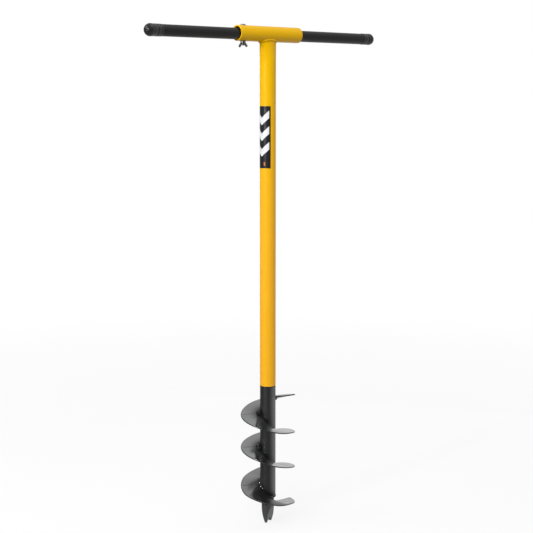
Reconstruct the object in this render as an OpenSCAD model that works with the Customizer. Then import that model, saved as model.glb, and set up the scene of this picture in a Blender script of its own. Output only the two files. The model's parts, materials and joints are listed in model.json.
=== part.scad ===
// Hand earth auger: a T-handled tube with a left-hand flight of just over three turns.
// The origin is on the tube's axis at the lowest point of the pilot bit. +Z runs up the
// shaft, and the handle bar lies along X. Every size is in millimetres.

/* [Shaft] */
// Outside diameter of the shaft tube and the auger tube
tube_d = 33.7; // [32:0.1:36]
// Wall thickness of both tubes
tube_wall = 2.6; // [2.3:0.1:3.2]
// Height of the butt joint between the two tubes
joint_z = 306.5; // [300:0.5:330]
// Height of the auger tube's lower end
tube_end_z = 63; // [58:0.5:68]
// Length of the spigot inside the joint
spigot_len = 80; // [60:1:120]

/* [Head] */
// Height of the cross tube's axis
axis_z = 1052.5; // [900:0.5:1200]
// Outside diameter of the cross tube
cross_d = 32; // [30:0.1:34]
// Wall thickness of the cross tube
cross_wall = 2.8; // [2.4:0.1:2.8]
// Length of the cross tube
cross_len = 172; // [160:1:200]
// Depth of the shaft's squashed top end, front to back
oval_depth = 22; // [20:0.5:26]
// Length over which the shaft changes from round to oval
oval_len = 62; // [40:1:90]

/* [Handle] */
// Outside diameter of the handle bar
bar_d = 23.4; // [22:0.1:24]
// Wall thickness of the handle bar
bar_wall = 2; // [1.5:0.1:3]
// Length of the handle bar without its caps
bar_len = 612; // [500:1:700]
// Widest diameter of a cap's dome
cap_d = 25.2; // [25:0.1:28]
// Outside diameter of a cap's skirt
skirt_d = 24.4; // [24.2:0.1:25]
// Length of a cap's skirt
skirt_len = 24; // [18:1:30]

/* [Clamp] */
// Place of the clamp bolt along the handle
bolt_x = -69; // [-74:0.5:-40]
// Thread diameter of the clamp bolt
bolt_d = 6; // [6:6]
// Length of the bolt under its head
bolt_len = 40; // [40:1:42]
// Diameter of the bolt's low round head
head_d = 11.6; // [10:0.1:13]
// Height of the bolt's head
head_h = 2.6; // [2:0.1:3.5]
// Diameter of the clearance holes for the bolt
hole_d = 6.6; // [6.6:0.1:7]
// Diameter of the washer
washer_d = 12; // [11:0.1:14]
// Thickness of the washer
washer_t = 1.2; // [1:0.1:1.6]
// Diameter of the wing nut's hub
hub_d = 10.6; // [10:0.1:12]
// Height of the wing nut's hub
hub_h = 7.4; // [6:0.1:8]
// Half of the wing nut's span
wing_reach = 13; // [11:0.5:15]
// Thickness of a wing
wing_t = 2.4; // [2:0.1:3]

/* [Flight] */
// Outside diameter of the flight
flight_d = 118; // [100:1:130]
// Fall of the flight in one turn
pitch = 80; // [70:1:90]
// Thickness of the flight plate, measured upright
plate_t = 3.1; // [2.5:0.1:4]
// Height of the flight's upper end
flight_top_z = 286; // [280:1:290]
// Compass angle of the flight's upper end
start_a = -43; // [-180:1:180]
// Turning angle from the upper end to the first seam
first_seam_a = 185; // [120:5:240]
// Turning angle over which the last stretch levels out
ease_a = 64; // [50:1:80]
// Turning angle of the whole flight
flight_a = 1114; // [1100:1:1130]

/* [Pilot bit] */
// Diameter of the pilot bit below the tube
bit_d = 27; // [26:0.1:27.6]
// Height at which the bit starts to taper
taper_z = 36; // [30:1:40]
// Diameter across the two prongs at their points
point_d = 14; // [12:0.5:18]
// Thickness of the bit at the points
point_t = 6; // [5:0.5:8]
// Height of the notch between the prongs
notch_z = 14; // [10:0.5:18]
// How much shorter the second prong is
prong_step = 3.5; // [0:0.5:5]

/* [Label] */
// Height of the label's lower edge
label_z = 775.5; // [700:0.5:800]
// Height of the label
label_h = 129; // [100:1:150]
// Angle of the shaft that the label wraps
label_a = 135; // [90:1:160]

/* [Hidden] */

tube_r = tube_d / 2;
bore_r = tube_r - tube_wall;
cross_r = cross_d / 2;
cross_bore_r = cross_r - cross_wall;
bar_r = bar_d / 2;
flight_r = flight_d / 2;
bit_r = bit_d / 2;

slip = 0.1;        // gap between a plug and the bore it is driven into
skin = 0.05;       // gap between pieces that bear on each other
joint_gap = 2;     // height of the weld between the two tubes
big = 60;          // longer than anything that it cuts
round_fn = 96;     // sides of a round solid
facet_a = 5;       // angle of the flight between two rulings
bead_sides = 8;    // sides of a weld bead

// The bar rests on the bottom of the cross tube's bore
bar_z = axis_z - (cross_bore_r - bar_r) + skin;

// Round-to-oval end of the shaft, with the tube's perimeter kept
oval_b = oval_depth / 2;
oval_a = sqrt(2 * tube_r * tube_r - oval_b * oval_b);
oval_z = axis_z - cross_r - 0.75 * oval_len;
oval_rings = 10;
oval_sides = 48;

// Clamp stack, from the bolt's head down
head_z = axis_z + cross_r + skin * 2;
bolt_end_z = head_z - bolt_len;
washer_z = axis_z - cross_r - skin * 2 - washer_t;
nut_z = washer_z - skin;
wing_tip_z = -11.2;   // lowest centre of a wing's lobe, from the nut's top
thread_gap = 0.05;    // radial running gap in the nut
washer_gap = 0.3;     // radial gap in the washer

seams = [first_seam_a, first_seam_a + 360, first_seam_a + 720];
root_gap = 0.1;       // gap between the flight and the tube
level_a = flight_a - ease_a;

// How far the pulled plate lies above a true helix: [turning angle, lift]
pull = [
    [0, 2], [60, 2], [120, 1], [170, -2], [235, -2], [290, -4.6], [345, -1.2], [430, 5.5],
    [520, 5.5], [600, 6], [650, 1.2], [700, 1.7], [790, 7.5], [865, 4], [935, -3.8],
    [1010, -4], [1060, 0.8], [flight_a, 0.5]];

// How far its root lies above its rim: the upper end is turned up, and each turn droops at one side
droop = [
    [0, -5], [120, 0], [200, 6], [235, 6], [340, 2.5], [480, 1], [560, 3], [600, 0], [720, 2.5],
    [850, 1], [900, 5], [945, 10], [985, 6], [1060, 0], [flight_a, -1]];

// ---- Helical flight ----

function ease(t) = t * t * (3 - 2 * t);

// Value of a table of [turning angle, value] at the angle a, eased between its rows
function look_up(table, a) = let (
        i = max([for (k = [0:len(table) - 2]) if (table[k][0] <= a) k]),
        t = (a - table[i][0]) / (table[i + 1][0] - table[i][0]))
    table[i][1] + (table[i + 1][1] - table[i][1]) * ease(t);

// Height of the upper face at the rim after turning by a: level at the lip
function flight_z(a) = let (over = max(0, a - level_a))
    flight_top_z - pitch / 360 * (a - over * over / (2 * ease_a)) + look_up(pull, a);

// Height of the upper face at the root
function root_z(a) = flight_z(a) + look_up(droop, a);

// Inner radius: it follows the tube, then steps in to the bit below the tube's end
function root_r(a) = let (
        low = (tube_end_z - skin - root_z(a)) / plate_t,
        k = min(1, max(0, low)))
    (tube_r + root_gap) * (1 - k) + (bit_r + root_gap) * k;

function around(r, a, z) = [r * cos(start_a + a), r * sin(start_a + a), z];

// One pressed flight section, as a plate between two turning angles
module flight_section(a0, a1) {
    steps = ceil((a1 - a0) / facet_a);
    pts = [for (i = [0:steps]) let (
                a = a0 + (a1 - a0) * i / steps,
                root = root_z(a), rim = flight_z(a))
            each [
                around(root_r(a), a, root - plate_t), around(flight_r, a, rim - plate_t),
                around(flight_r, a, rim), around(root_r(a), a, root)
            ]];
    last = 4 * steps;
    skin_faces = [for (i = [0:steps - 1], k = [0:3]) let (
                    p = 4 * i + k, q = 4 * i + (k + 1) % 4)
                each [[p, q, q + 4], [p, q + 4, p + 4]]];
    ends = [[3, 2, 1, 0], [last, last + 1, last + 2, last + 3]];
    polyhedron(points = pts, faces = concat(skin_faces, ends));
}

// ---- Swept weld beads ----

function unit(v) = v / norm(v);

// Rings of points round a path, each square to the path
function bead_points(path, radii, closed) = let (n = len(path))
    [for (i = [0:n - 1]) let (
            before = closed ? path[(i + n - 1) % n] : path[max(i - 1, 0)],
            after = closed ? path[(i + 1) % n] : path[min(i + 1, n - 1)],
            along = unit(after - before),
            side = unit(cross(along, [0, 0, 1])),
            up = cross(side, along))
        for (k = [0:bead_sides - 1]) let (w = 360 * k / bead_sides)
            path[i] + radii[i] * (cos(w) * side + sin(w) * up)];

module bead(path, radii, closed = false) {
    n = len(path);
    links = closed ? n : n - 1;
    skin_faces = [for (i = [0:links - 1], k = [0:bead_sides - 1]) let (
                    j = (i + 1) % n, m = (k + 1) % bead_sides,
                    p = i * bead_sides + k, q = i * bead_sides + m,
                    r = j * bead_sides + m, s = j * bead_sides + k)
                each [[p, r, q], [p, s, r]]];
    ends = closed ? [] : [
        [for (k = [0:bead_sides - 1]) k],
        [for (k = [bead_sides - 1:-1:0]) (n - 1) * bead_sides + k]];
    polyhedron(points = bead_points(path, radii, closed), faces = concat(skin_faces, ends));
}

// A bead along the flight's root between two turning angles, above it or below it
module root_bead(a0, a1, r, side) {
    steps = ceil((a1 - a0) / facet_a);
    rise = side > 0 ? 0.5 : -plate_t - 0.5;
    path = [for (i = [0:steps]) let (a = a0 + (a1 - a0) * i / steps)
            around(root_r(a) + 0.5, a, root_z(a) + rise)];
    radii = [for (i = [0:steps]) r * (0.45 + 0.55 * sin(180 * i / steps))];
    bead(path, radii);
}

// ---- Tubes and bar ----

module tube(outer_r, inner_r, z0, z1) {
    translate([0, 0, z0]) difference() {
        cylinder(h = z1 - z0, r = outer_r, $fn = round_fn);
        translate([0, 0, -1]) cylinder(h = z1 - z0 + 2, r = inner_r, $fn = round_fn);
    }
}

module along_x(z) { translate([0, 0, z]) rotate([0, 90, 0]) children(); }

module bolt_hole() {
    translate([bolt_x, 0, axis_z - big / 2]) cylinder(h = big, d = hole_d, $fn = 48);
}

// Half-widths of the shaft's end at a share t of the way from round to oval
function oval_b_at(t) = tube_r + (oval_b - tube_r) * ease(t);
function oval_a_at(t) = let (b = oval_b_at(t)) sqrt(2 * tube_r * tube_r - b * b);

// Height of the cross tube's underside at a distance y from its middle
function saddle_z(y) = axis_z - sqrt(cross_r * cross_r - y * y);

// A ring round the oval end, whose top ring is coped to the cross tube
function oval_ring(t, inset) = [for (k = [0:oval_sides - 1]) let (
        w = 360 * k / oval_sides,
        top = saddle_z((oval_b - inset) * sin(w)) - 2 * skin)
    [(oval_a_at(t) - inset) * cos(w), (oval_b_at(t) - inset) * sin(w), oval_z + (top - oval_z) * t]];

// The oval end, its lowest stretch sunk inside the wall of the round tube
module oval_end() {
    n = oval_sides;
    shares = [for (i = [0:oval_rings]) max(0, i - 0.5) / (oval_rings - 0.5)];
    drop = [for (i = [0:oval_rings]) i == 0 ? 2 : 0];
    pts = [for (inset = [skin, tube_wall - skin], i = [0:oval_rings])
            each [for (p = oval_ring(shares[i], inset)) p - [0, 0, drop[i]]]];
    inner = (oval_rings + 1) * n;
    skins = [for (i = [0:oval_rings - 1], k = [0:n - 1]) let (p = i * n + k, q = i * n + (k + 1) % n)
                each [
                    [p, q + n, q], [p, p + n, q + n],
                    [inner + p, inner + q, inner + q + n], [inner + p, inner + q + n, inner + p + n]
                ]];
    top = oval_rings * n;
    rims = [for (k = [0:n - 1]) let (m = (k + 1) % n)
                each [
                    [k, m, inner + m], [k, inner + m, inner + k],
                    [top + k, inner + top + m, top + m], [top + k, inner + top + k, inner + top + m]
                ]];
    polyhedron(points = pts, faces = concat(skins, rims));
}

module shaft_tube() {
    color("gold") {
        tube(tube_r, bore_r, joint_z + joint_gap / 2, oval_z);
        oval_end();
    }
}

module auger_tube() {
    color("dimgray") tube(tube_r, bore_r, tube_end_z, joint_z - joint_gap / 2);
}

module joint_spigot() {
    color("gray") tube(bore_r - slip, bore_r - slip - tube_wall,
                       joint_z - spigot_len / 2, joint_z + spigot_len / 2);
}

module joint_weld() {
    color("midnightblue") tube(tube_r, bore_r, joint_z - joint_gap / 2, joint_z + joint_gap / 2);
}

module cross_tube() {
    color("goldenrod") difference() {
        along_x(axis_z) cylinder(h = cross_len, r = cross_r, center = true, $fn = round_fn);
        along_x(axis_z) cylinder(h = cross_len + 2, r = cross_bore_r, center = true, $fn = round_fn);
        bolt_hole();
    }
}

module handle_bar() {
    color("black") difference() {
        along_x(bar_z) cylinder(h = bar_len, r = bar_r, center = true, $fn = round_fn);
        along_x(bar_z) cylinder(h = bar_len + 2, r = bar_r - bar_wall, center = true, $fn = round_fn);
        bolt_hole();
    }
}

// Bead round the saddle where the oval end meets the cross tube
module head_weld() {
    steps = 48;
    path = [for (i = [0:steps - 1]) let (w = 360 * i / steps, y = oval_b * sin(w))
            [oval_a * cos(w), y, saddle_z(y)]];
    radii = [for (i = [0:steps - 1]) 2.5 + 0.3 * sin(5 * 360 * i / steps)];
    color("goldenrod") bead(path, radii, closed = true);
}

// ---- End caps ----

// A domed cap pushed over the bar, with its open end at +Z
module cap() {
    dome_r = cap_d / 2;
    dome = [for (w = [0:7.5:75]) [dome_r * sin(w), -dome_r * cos(w)]];
    skirt_r = skirt_d / 2;
    groove = 0.2;
    rotate_extrude($fn = round_fn) polygon(concat(dome, [
        [dome_r, -1.5], [dome_r, 1], [skirt_r, 2.5],
        [skirt_r, 10], [skirt_r - groove, 10.5], [skirt_r - groove, 11.5], [skirt_r, 12],
        [skirt_r, 18], [skirt_r - groove, 18.5], [skirt_r - groove, 19.5], [skirt_r, 20],
        [skirt_r, skirt_len], [bar_r + skin, skirt_len], [bar_r + skin, skin * 2], [0, skin * 2]]));
}

module end_cap_left() {
    color("dimgray") translate([-bar_len / 2 - skin * 4, 0, bar_z]) rotate([0, 90, 0]) cap();
}

module end_cap_right() {
    color("dimgray") translate([bar_len / 2 + skin * 4, 0, bar_z]) rotate([0, -90, 0]) cap();
}

// ---- Auger ----

module flight_top() { color("gray") flight_section(0, seams[0]); }

module flight_upper() { color("darkgray") flight_section(seams[0], seams[1]); }

module flight_lower() { color("gray") flight_section(seams[1], seams[2]); }

module flight_lip() { color("darkgray") flight_section(seams[2], flight_a); }

// One bead along each radial seam, lying on the plate
module seam_welds() {
    seam_r = 1.4;
    inset = 6;    // from the tube to the bead's inner end
    short = 10;   // how much shorter than the plate is wide
    color("silver") for (a = seams)
        let (tilt = atan((root_z(a) - flight_z(a)) / (flight_r - tube_r)))
            translate([0, 0, root_z(a) + tube_r * tan(tilt)]) rotate([0, 90 + tilt, start_a + a])
                translate([0, 0, tube_r + inset])
                    cylinder(h = flight_r - tube_r - short, r = seam_r, $fn = 24);
}

// Short fat beads at the root beside each upper seam, a long one at the lip and one under the top end
module root_welds() {
    color("silver") {
        for (a = [seams[0], seams[1]]) root_bead(a - 4, a + 22, 5, 1);
        root_bead(seams[2] - 10, seams[2] + 60, 3.2, 1);
        root_bead(2, 26, 3.4, -1);
    }
}

// Round bar with a forged fishtail: it thins towards two prongs with a notch between them
module pilot_bit() {
    point_r = point_d / 2;
    swell = 1.4;
    plug_len = 38;
    profile = [for (i = [0:8]) let (t = i / 8)
        [point_r + (bit_r - point_r) * t + swell * sin(180 * t), taper_z * t]];
    color("dimgray") difference() {
        intersection() {
            rotate_extrude($fn = round_fn) polygon(concat(
                [[0, 0]], profile,
                [[bit_r, tube_end_z], [bore_r - slip, tube_end_z],
                 [bore_r - slip, tube_end_z + plug_len], [0, tube_end_z + plug_len]]));
            rotate([90, 0, 90]) linear_extrude(height = big, center = true) polygon([
                [-point_t / 2, 0], [point_t / 2, 0], [bit_r + 1, taper_z + 4],
                [bit_r + 1, tube_end_z + big], [-bit_r - 1, tube_end_z + big],
                [-bit_r - 1, taper_z + 4]]);
        }
        rotate([90, 0, 0]) linear_extrude(height = big, center = true) polygon([
            [-point_r + 1, -0.5], [0, notch_z], [point_r - 1, -0.5]]);
        translate([big / 2, 0, 0]) cube([big, big, 2 * prong_step], center = true);
    }
}

// Fillet between the tube's lower end and the bit
module bit_weld() {
    fillet = 3;
    color("silver") rotate_extrude($fn = round_fn) polygon([
        [bit_r, tube_end_z], [bit_r + fillet, tube_end_z], [bit_r + fillet * 0.6, tube_end_z - fillet * 0.8],
        [bit_r, tube_end_z - fillet * 1.3]]);
}

// ---- Label ----

module label() {
    film = 0.2;
    color("white") rotate([0, 0, 180 - label_a / 2]) translate([0, 0, label_z])
        rotate_extrude(angle = label_a, $fn = round_fn)
            translate([tube_r + skin / 2, 0]) square([film, label_h]);
}

// ---- Clamp ----

module clamp_bolt() {
    dome_drop = 1.1;
    head_r = head_d / 2;
    dome = [for (w = [0:15:90]) [head_r * cos(w), head_h - dome_drop + dome_drop * sin(w)]];
    color("silver") translate([bolt_x, 0, 0]) {
        translate([0, 0, bolt_end_z]) cylinder(h = bolt_len + 0.5, d = bolt_d, $fn = 48);
        translate([0, 0, head_z]) rotate_extrude($fn = 48) polygon(concat([[0, 0], [head_r, 0]], dome));
    }
}

module nut_washer() {
    color("lightgray") translate([bolt_x, 0, 0]) difference() {
        translate([0, 0, washer_z]) cylinder(h = washer_t, d = washer_d, $fn = 48);
        translate([0, 0, washer_z - 1]) cylinder(h = washer_t + 2, r = bolt_d / 2 + washer_gap, $fn = 48);
    }
}

// Hub and two wings that splay down and out along Y
module wing_nut() {
    lobe_r = 2.6;
    lobe_y = wing_reach - lobe_r;
    color("slategray") translate([bolt_x, 0, nut_z]) difference() {
        union() {
            translate([0, 0, -hub_h]) cylinder(h = hub_h, d1 = hub_d - 1.2, d2 = hub_d, $fn = 64);
            for (side = [-1, 1]) rotate([90, 0, 90]) linear_extrude(height = wing_t, center = true) {
                translate([side * lobe_y, wing_tip_z + lobe_r]) circle(r = lobe_r, $fn = 32);
                polygon([
                    [side * 4, 0], [side * 5.6, 0],
                    [side * (lobe_y + lobe_r * 0.9), wing_tip_z + lobe_r * 1.4],
                    [side * (lobe_y - lobe_r * 0.9), wing_tip_z + lobe_r * 0.7], [side * 4, -hub_h * 0.85]]);
            }
        }
        translate([0, 0, -hub_h - 1]) cylinder(h = hub_h + 2, r = bolt_d / 2 + thread_gap, $fn = 48);
    }
}

shaft_tube();
cross_tube();
head_weld();
joint_spigot();
joint_weld();
auger_tube();
flight_top();
flight_upper();
flight_lower();
flight_lip();
seam_welds();
root_welds();
pilot_bit();
bit_weld();
handle_bar();
end_cap_left();
end_cap_right();
label();
clamp_bolt();
nut_washer();
wing_nut();
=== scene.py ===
import json
import math
import bpy
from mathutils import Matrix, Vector, noise


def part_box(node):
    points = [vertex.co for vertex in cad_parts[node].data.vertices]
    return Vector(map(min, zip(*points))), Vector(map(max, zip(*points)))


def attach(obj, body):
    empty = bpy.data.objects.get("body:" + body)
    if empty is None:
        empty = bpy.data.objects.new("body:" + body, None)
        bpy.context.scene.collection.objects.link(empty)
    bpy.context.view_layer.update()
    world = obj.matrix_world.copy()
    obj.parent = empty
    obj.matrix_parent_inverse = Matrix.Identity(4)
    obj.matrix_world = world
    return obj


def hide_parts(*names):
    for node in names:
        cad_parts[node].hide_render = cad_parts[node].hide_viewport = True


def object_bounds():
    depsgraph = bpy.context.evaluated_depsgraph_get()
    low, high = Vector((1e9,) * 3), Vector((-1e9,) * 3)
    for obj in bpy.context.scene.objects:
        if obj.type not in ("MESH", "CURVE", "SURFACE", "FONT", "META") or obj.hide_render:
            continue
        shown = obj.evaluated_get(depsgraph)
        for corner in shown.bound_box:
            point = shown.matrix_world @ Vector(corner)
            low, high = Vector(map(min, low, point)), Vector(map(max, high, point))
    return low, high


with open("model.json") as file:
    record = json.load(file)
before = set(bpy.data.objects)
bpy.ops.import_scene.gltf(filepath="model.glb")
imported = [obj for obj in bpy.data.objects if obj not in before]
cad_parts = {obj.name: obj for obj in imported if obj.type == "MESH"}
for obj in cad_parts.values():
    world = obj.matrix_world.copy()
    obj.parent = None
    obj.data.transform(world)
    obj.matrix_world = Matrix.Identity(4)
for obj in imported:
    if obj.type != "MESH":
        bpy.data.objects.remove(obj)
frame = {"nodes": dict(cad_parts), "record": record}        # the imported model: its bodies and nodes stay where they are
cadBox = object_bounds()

mm = 0.001
record = frame["record"]
bodyOf = {node: body for body, nodes in record["behaviour"]["bodies"].items() for node in nodes}


def middle(node):
    low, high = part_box(node)
    return [(a + b) / 2 for a, b in zip(low, high)]


def extent(node, axis):
    low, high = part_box(node)
    return high[axis] - low[axis]


# sizes read from the frame
tubeR = extent("auger_tube", 0) / 2
tubeWall = 2.6 * mm
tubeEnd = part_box("auger_tube")[0][2]
crossR = extent("cross_tube", 2) / 2
crossZ = middle("cross_tube")[2]
barR = extent("handle_bar", 2) / 2
barZ = middle("handle_bar")[2]
flightR = extent("flight_upper", 1) / 2
boltX = middle("clamp_bolt")[0]


def smoothStep(t):
    t = min(1.0, max(0.0, t))
    return t * t * (3 - 2 * t)


def wobble(x, y, z, scale=1.0, seed=0.0):
    return noise.noise(Vector((x * scale + seed, y * scale - seed, z * scale + 2 * seed)))


def between(a, b, count):    # count even steps from a to b, without b
    return [a + (b - a) * i / count for i in range(count)]


def arcPoints(centre, r, fromDeg, toDeg, steps):
    points = []
    for i in range(steps + 1):
        w = math.radians(fromDeg + (toDeg - fromDeg) * i / steps)
        points.append((centre[0] + r * math.cos(w), centre[1] + r * math.sin(w)))
    return points


def soften(mesh, sharp):    # smooth shading, broken where faces meet at more than the angle sharp
    mesh.polygons.foreach_set("use_smooth", [True] * len(mesh.polygons))
    mesh.set_sharp_from_angle(angle=math.radians(sharp))


def makeObject(name, verts, faces, sharp=35):
    mesh = bpy.data.meshes.new(name)
    mesh.from_pydata(verts, [], faces)
    mesh.validate()
    soften(mesh, sharp)
    piece = bpy.data.objects.new(name, mesh)
    bpy.context.scene.collection.objects.link(piece)
    return piece


# joins rings of equal length; closed joins the last ring to the first, else both ends are capped
def loft(name, rings, closed=False, flip=False, sharp=35):
    cols = len(rings[0])
    verts = [point for ring in rings for point in ring]
    faces = []
    for i in range(len(rings) if closed else len(rings) - 1):
        here, there = i * cols, (i + 1) % len(rings) * cols
        for j in range(cols):
            after = (j + 1) % cols
            faces.append((here + j, here + after, there + after, there + j))
    if not closed:
        last = len(verts) - cols
        faces += [tuple(range(cols - 1, -1, -1)), tuple(range(last, last + cols))]
    if flip:
        faces = [face[::-1] for face in faces]
    return makeObject(name, verts, faces, sharp)


# turns (radius, height) points round an axis; place maps (x, y, height) into the frame
def spin(name, profile, place, closed=False, sides=96, sharp=35):
    thinnest = 1e-6    # keeps a ring on the axis from closing to one point
    rings = []
    for r, h in profile:
        ring = []
        for k in range(sides):
            w = 2 * math.pi * k / sides
            ring.append(place(max(r, thinnest) * math.cos(w), max(r, thinnest) * math.sin(w), h))
        rings.append(ring)
    return loft(name, rings, closed=closed, sharp=sharp)


def alongZ(x=0, y=0, z=0):
    return lambda px, py, h: (x + px, y + py, z + h)


def alongX(x=0, y=0, z=0, way=1):
    return lambda px, py, h: (x + h * way, y + px * way, z + py)


def setField(piece, name, valueAt):    # a number at each vertex, for the finishes to read
    mesh = piece.data
    layer = mesh.attributes.get(name) or mesh.attributes.new(name, "FLOAT", "POINT")
    layer.data.foreach_set("value", [valueAt(v.co) for v in mesh.vertices])


def bake(piece):    # applies the piece's modifiers
    graph = bpy.context.evaluated_depsgraph_get()
    mesh = bpy.data.meshes.new_from_object(piece.evaluated_get(graph))
    old = piece.data
    piece.modifiers.clear()
    piece.data = mesh
    bpy.data.meshes.remove(old)


def cut(piece, cutters):
    for cutter in cutters:
        mod = piece.modifiers.new("cut", "BOOLEAN")
        mod.operation = "DIFFERENCE"
        mod.solver = "EXACT"
        mod.object = cutter
    bake(piece)
    for cutter in cutters:
        bpy.data.objects.remove(cutter)


def remesh(piece, voxel, smoothing, sharp=60):    # one skin with softened edges
    mod = piece.modifiers.new("skin", "REMESH")
    mod.mode = "VOXEL"
    mod.voxel_size = voxel
    mod = piece.modifiers.new("soft", "SMOOTH")
    mod.factor = 0.5
    mod.iterations = smoothing
    bake(piece)
    soften(piece.data, sharp)


def merge(name, parts):
    verts, faces = [], []
    for part in parts:
        base = len(verts)
        verts += [tuple(v.co) for v in part.data.vertices]
        faces += [tuple(base + i for i in p.vertices) for p in part.data.polygons]
        bpy.data.objects.remove(part)
    return makeObject(name, verts, faces)


def install(piece, node, finish):    # the piece then stands for a node of the frame
    piece.data.materials.clear()
    piece.data.materials.append(finish)
    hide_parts(node)
    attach(piece, bodyOf[node])


# wraps a socket, so that arithmetic on it adds Math nodes
class Value:
    def __init__(self, finish, socket):
        self.finish = finish
        self.socket = socket

    def maths(self, operation, a, b=0.0, clamp=False):
        return self.finish.node("ShaderNodeMath", {"operation": operation, "use_clamp": clamp}, {0: a, 1: b})

    def __add__(self, other):
        return self.maths("ADD", self, other)

    def __radd__(self, other):
        return self.maths("ADD", other, self)

    def __sub__(self, other):
        return self.maths("SUBTRACT", self, other)

    def __rsub__(self, other):
        return self.maths("SUBTRACT", other, self)

    def __mul__(self, other):
        return self.maths("MULTIPLY", self, other)

    def __rmul__(self, other):
        return self.maths("MULTIPLY", other, self)

    def __abs__(self):
        return self.maths("ABSOLUTE", self)

    def fraction(self):
        return self.maths("FRACT", self)

    def clamped(self):
        return self.maths("ADD", self, 0.0, clamp=True)

    def above(self, edge, soft):    # 0 below the edge and 1 above it, over a soft band
        return ((self - edge) * (1 / soft) + 0.5).clamped()


# one material, or a world, and the nodes that make it
class Finish:
    def __init__(self, name, owner=None):
        self.material = owner or bpy.data.materials.new(name)
        self.material.use_nodes = True
        self.tree = self.material.node_tree
        self.tree.nodes.clear()

    def node(self, kind, settings=None, inputs=None, output=0):
        made = self.tree.nodes.new(kind)
        for key, value in (settings or {}).items():
            setattr(made, key, value)
        for key, value in (inputs or {}).items():
            if isinstance(value, Value):
                self.tree.links.new(value.socket, made.inputs[key])
            else:
                made.inputs[key].default_value = value
        return Value(self, made.outputs[output] if made.outputs else None)

    def place(self, stretch=(1, 1, 1)):    # the rest-pose position, stretched along each axis
        spot = self.node("ShaderNodeTexCoord", output="Object")
        return self.node("ShaderNodeVectorMath", {"operation": "MULTIPLY"}, {0: spot, 1: stretch})

    def noise(self, scale, detail=3.0, stretch=(1, 1, 1), rough=0.55):
        return self.node("ShaderNodeTexNoise", {"noise_dimensions": "3D"}, {
            "Vector": self.place(stretch), "Scale": scale, "Detail": detail, "Roughness": rough})

    def speckle(self, scale):
        return self.node("ShaderNodeTexVoronoi", {"feature": "F1"}, {
            "Vector": self.place(), "Scale": scale}, output="Distance")

    def field(self, name):
        return self.node("ShaderNodeAttribute", {"attribute_name": name}, output="Fac")

    def mix(self, share, a, b):
        first, second = [c if isinstance(c, Value) else (*c, 1.0) for c in (a, b)]
        return self.node("ShaderNodeMix", {"data_type": "RGBA"}, {0: share, 6: first, 7: second}, output=2)

    def bump(self, height, distance, strength=1.0):
        return self.node("ShaderNodeBump", None, {
            "Height": height, "Distance": distance, "Strength": strength})

    def shade(self, sockets):
        shader = self.node("ShaderNodeBsdfPrincipled", None, sockets)
        self.node("ShaderNodeOutputMaterial", None, {"Surface": shader})
        return self.material


def scaled(colour, share):
    return tuple(c * share for c in colour)


# yellow powder coat; its hue runs purer towards the handle and more orange lower down, a painted shift for
# the warmer light on the lower shaft
yellowLook = dict(
    colour=(0.93, 0.47, 0.020), deep=(0.80, 0.36, 0.012),
    upperLightColour=(0.84, 0.48, 0.0005), upperLightDeep=(0.72, 0.36, 0.0005), upperLightFrom=0.62, upperLightTo=1.0,
    mottle=0.45, dust=0.10, grime=(0.30, 0.17, 0.03),
    roughness=0.30, gloss=0.14, peel=0.9 * mm, peelDepth=0.04 * mm)


def yellowCoat():
    look = yellowLook
    f = Finish("yellowCoat")
    patches = f.noise(9.0, 3.0)
    fine = f.noise(240.0, 2.0)
    peel = f.noise(1 / look["peel"], 2.0)
    rise = f.node("ShaderNodeSeparateXYZ", None, {0: f.place()}, output="Z")
    # painted light: the share of the purer upper hue rises with height; the orange below stands for warmer
    # light
    high = ((rise - look["upperLightFrom"]) * (1 / (look["upperLightTo"] - look["upperLightFrom"]))).clamped()
    mottle = (patches * 0.5 + fine * 0.2).clamped() * look["mottle"]
    low = f.mix(mottle, look["colour"], look["deep"])
    colour = f.mix(high, low, f.mix(mottle, look["upperLightColour"], look["upperLightDeep"]))
    dust = f.noise(60.0, 6.0, rough=0.7).above(0.70, 0.10)
    scratch = f.noise(420.0, 2.0, (1, 1, 0.05)).above(0.72, 0.04)
    return f.shade({
        "Base Color": f.mix(dust * look["dust"], colour, look["grime"]),
        "Roughness": look["roughness"] + patches * 0.08 + dust * 0.15 + scratch * 0.1,
        "Normal": f.bump(peel + scratch * -0.3, look["peelDepth"], 0.6),
        "Specular IOR Level": look["gloss"], "IOR": 1.5})


# black coat of the bar, with streaks and rubbed patches along its length
barLook = dict(
    colour=(0.008, 0.008, 0.009), worn=(0.030, 0.030, 0.032), rubbed=0.55, streaked=0.25,
    roughness=0.30, gloss=0.26, gritDepth=0.03 * mm)


def barCoat():
    look = barLook
    f = Finish("barCoat")
    streaks = f.noise(130.0, 4.0, (0.03, 1, 1))
    patches = f.noise(14.0, 4.0)
    grit = f.noise(1500.0, 2.0)
    rub = f.noise(35.0, 5.0, (0.25, 1, 1), 0.65).above(0.62, 0.12)
    return f.shade({
        "Base Color": f.mix(rub * look["rubbed"] + streaks * look["streaked"], look["colour"], look["worn"]),
        "Roughness": look["roughness"] + streaks * 0.12 + patches * 0.08 - rub * 0.06,
        "Normal": f.bump(grit + streaks * 1.5, look["gritDepth"], 0.7),
        "Specular IOR Level": look["gloss"], "IOR": 1.5})


# moulded plastic of the end caps
capLook = dict(
    colour=(0.014, 0.014, 0.014), dusty=(0.045, 0.044, 0.042), dust=0.35,
    roughness=0.22, grainDepth=0.04 * mm)


def capPlastic():
    look = capLook
    f = Finish("capPlastic")
    grain = f.speckle(1400.0)
    marks = f.noise(90.0, 5.0, rough=0.7)
    return f.shade({
        "Base Color": f.mix(marks.above(0.6, 0.2) * look["dust"], look["colour"], look["dusty"]),
        "Roughness": look["roughness"] + marks * 0.14,
        "Normal": f.bump(grain, look["grainDepth"], 0.5),
        "IOR": 1.48})
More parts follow.
